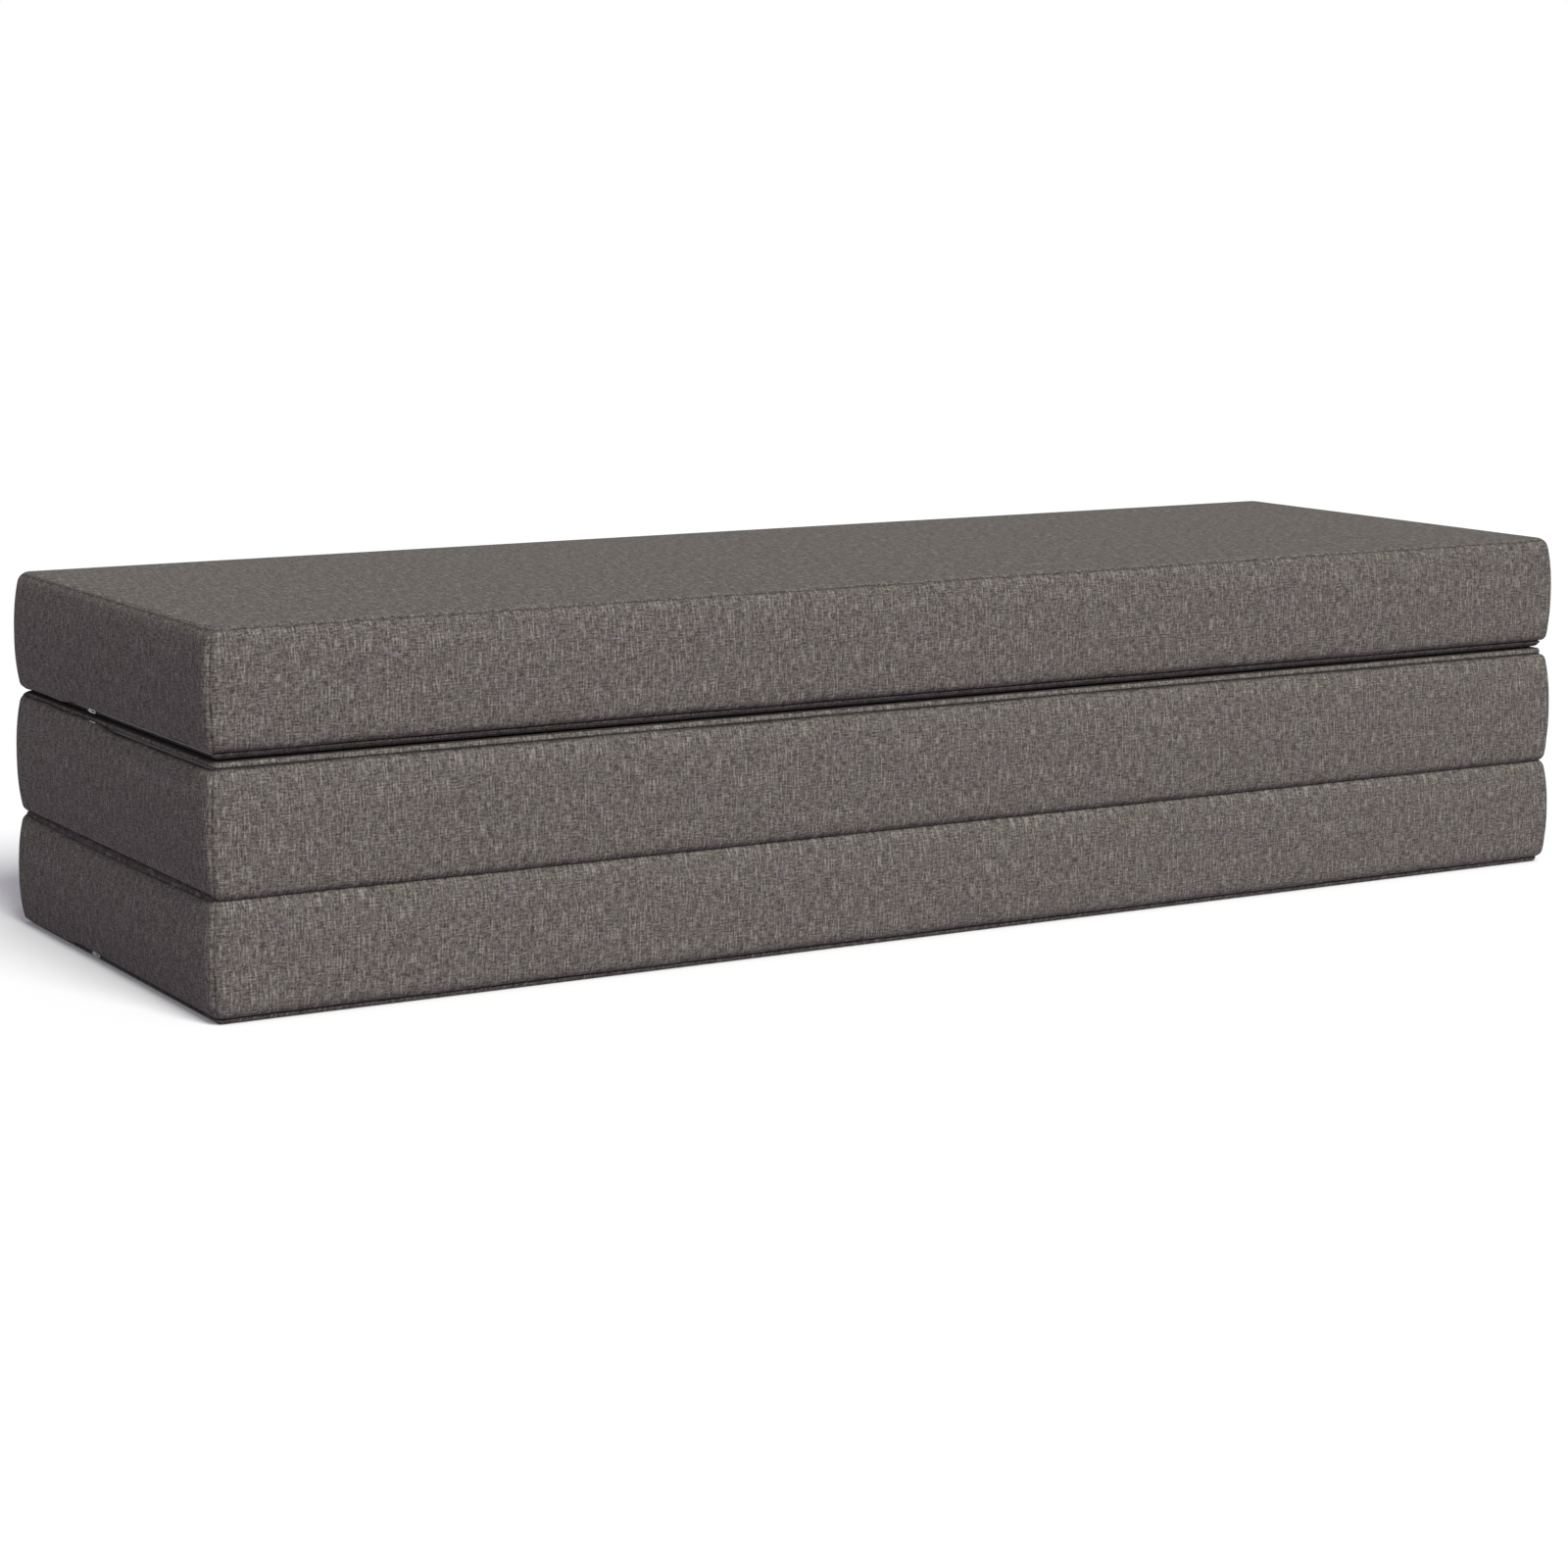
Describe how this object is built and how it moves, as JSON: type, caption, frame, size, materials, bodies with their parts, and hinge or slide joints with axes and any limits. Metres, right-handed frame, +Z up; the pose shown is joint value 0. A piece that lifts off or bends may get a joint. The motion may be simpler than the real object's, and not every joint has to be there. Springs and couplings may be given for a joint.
{
  "type": "folding sofa bed",
  "caption": "Foam sofa bed of long sections in a grey linen-look cover, folded in a Z into a low stack, with sewn fold hinges and zips round the underside edges.",
  "frame": {"origin": "middle of the stack's underside, on the floor", "axes": "+X along the sections towards the right end, +Y from the open front to the back, +Z up"},
  "size_m": [1.945, 0.67, 0.4496],
  "materials": {
    "cover_fabric": "matte",
    "under_fabric": "matte",
    "support_foam": "matte",
    "comfort_foam": "matte",
    "zip_nylon": "matte",
    "zip_metal": "satin"
  },
  "bodies": {
    "base": {"base_support_foam": "support_foam", "base_comfort_foam": "comfort_foam", "base_sleeping_panel": "cover_fabric", "base_under_panel": "under_fabric", "base_left_wall": "cover_fabric", "base_right_wall": "cover_fabric", "base_front_wall": "cover_fabric", "base_back_wall": "cover_fabric", "base_border_strip": "cover_fabric", "base_zip_chain": "zip_nylon", "front_fold_hinge": "cover_fabric"},
    "middle": {"middle_support_foam": "support_foam", "middle_comfort_foam": "comfort_foam", "middle_sleeping_panel": "cover_fabric", "middle_under_panel": "under_fabric", "middle_left_wall": "cover_fabric", "middle_right_wall": "cover_fabric", "middle_front_wall": "cover_fabric", "middle_back_wall": "cover_fabric", "middle_border_strip": "cover_fabric", "middle_zip_chain": "zip_nylon", "rear_fold_hinge": "cover_fabric"},
    "top": {"top_support_foam": "support_foam", "top_comfort_foam": "comfort_foam", "top_sleeping_panel": "cover_fabric", "top_under_panel": "under_fabric", "top_left_wall": "cover_fabric", "top_right_wall": "cover_fabric", "top_front_wall": "cover_fabric", "top_back_wall": "cover_fabric", "top_border_strip": "cover_fabric", "top_zip_chain": "zip_nylon"},
    "base_slider": {"base_zip_slider": "zip_metal"},
    "base_pull": {"base_zip_pull": "zip_metal"},
    "middle_slider": {"middle_zip_slider": "zip_metal"},
    "middle_pull": {"middle_zip_pull": "zip_metal"},
    "top_slider": {"top_zip_slider": "zip_metal"},
    "top_pull": {"top_zip_pull": "zip_metal"}
  },
  "joints": [
    {"name": "front_fold", "type": "hinge", "parent": "base", "child": "middle", "pos_m": [0, -0.3278, 0.14715], "axis": [1, 0, 0], "range_deg": [0, 180]},
    {"name": "rear_fold", "type": "hinge", "parent": "middle", "child": "top", "pos_m": [0, 0.3278, 0.29445], "axis": [-1, 0, 0], "range_deg": [0, 180]},
    {"name": "base_zip", "type": "slide", "parent": "base", "child": "base_slider", "axis": [0, -1, 0], "range_m": [0, 0.35]},
    {"name": "base_pull_flip", "type": "hinge", "parent": "base_slider", "child": "base_pull", "pos_m": [-0.9611, 0.076, 0.0072], "axis": [0, 0, -1], "range_deg": [0, 170]},
    {"name": "middle_zip", "type": "slide", "parent": "middle", "child": "middle_slider", "axis": [0, -1, 0], "range_m": [0, 0.35]},
    {"name": "middle_pull_flip", "type": "hinge", "parent": "middle_slider", "child": "middle_pull", "pos_m": [-0.9611, 0.076, 0.2871], "axis": [0, 0, -1], "range_deg": [0, 170]},
    {"name": "top_zip", "type": "slide", "parent": "top", "child": "top_slider", "axis": [0, -1, 0], "range_m": [0, 0.35]},
    {"name": "top_pull_flip", "type": "hinge", "parent": "top_slider", "child": "top_pull", "pos_m": [-0.9611, 0.076, 0.3018], "axis": [0, 0, -1], "range_deg": [0, 170]}
  ]
}
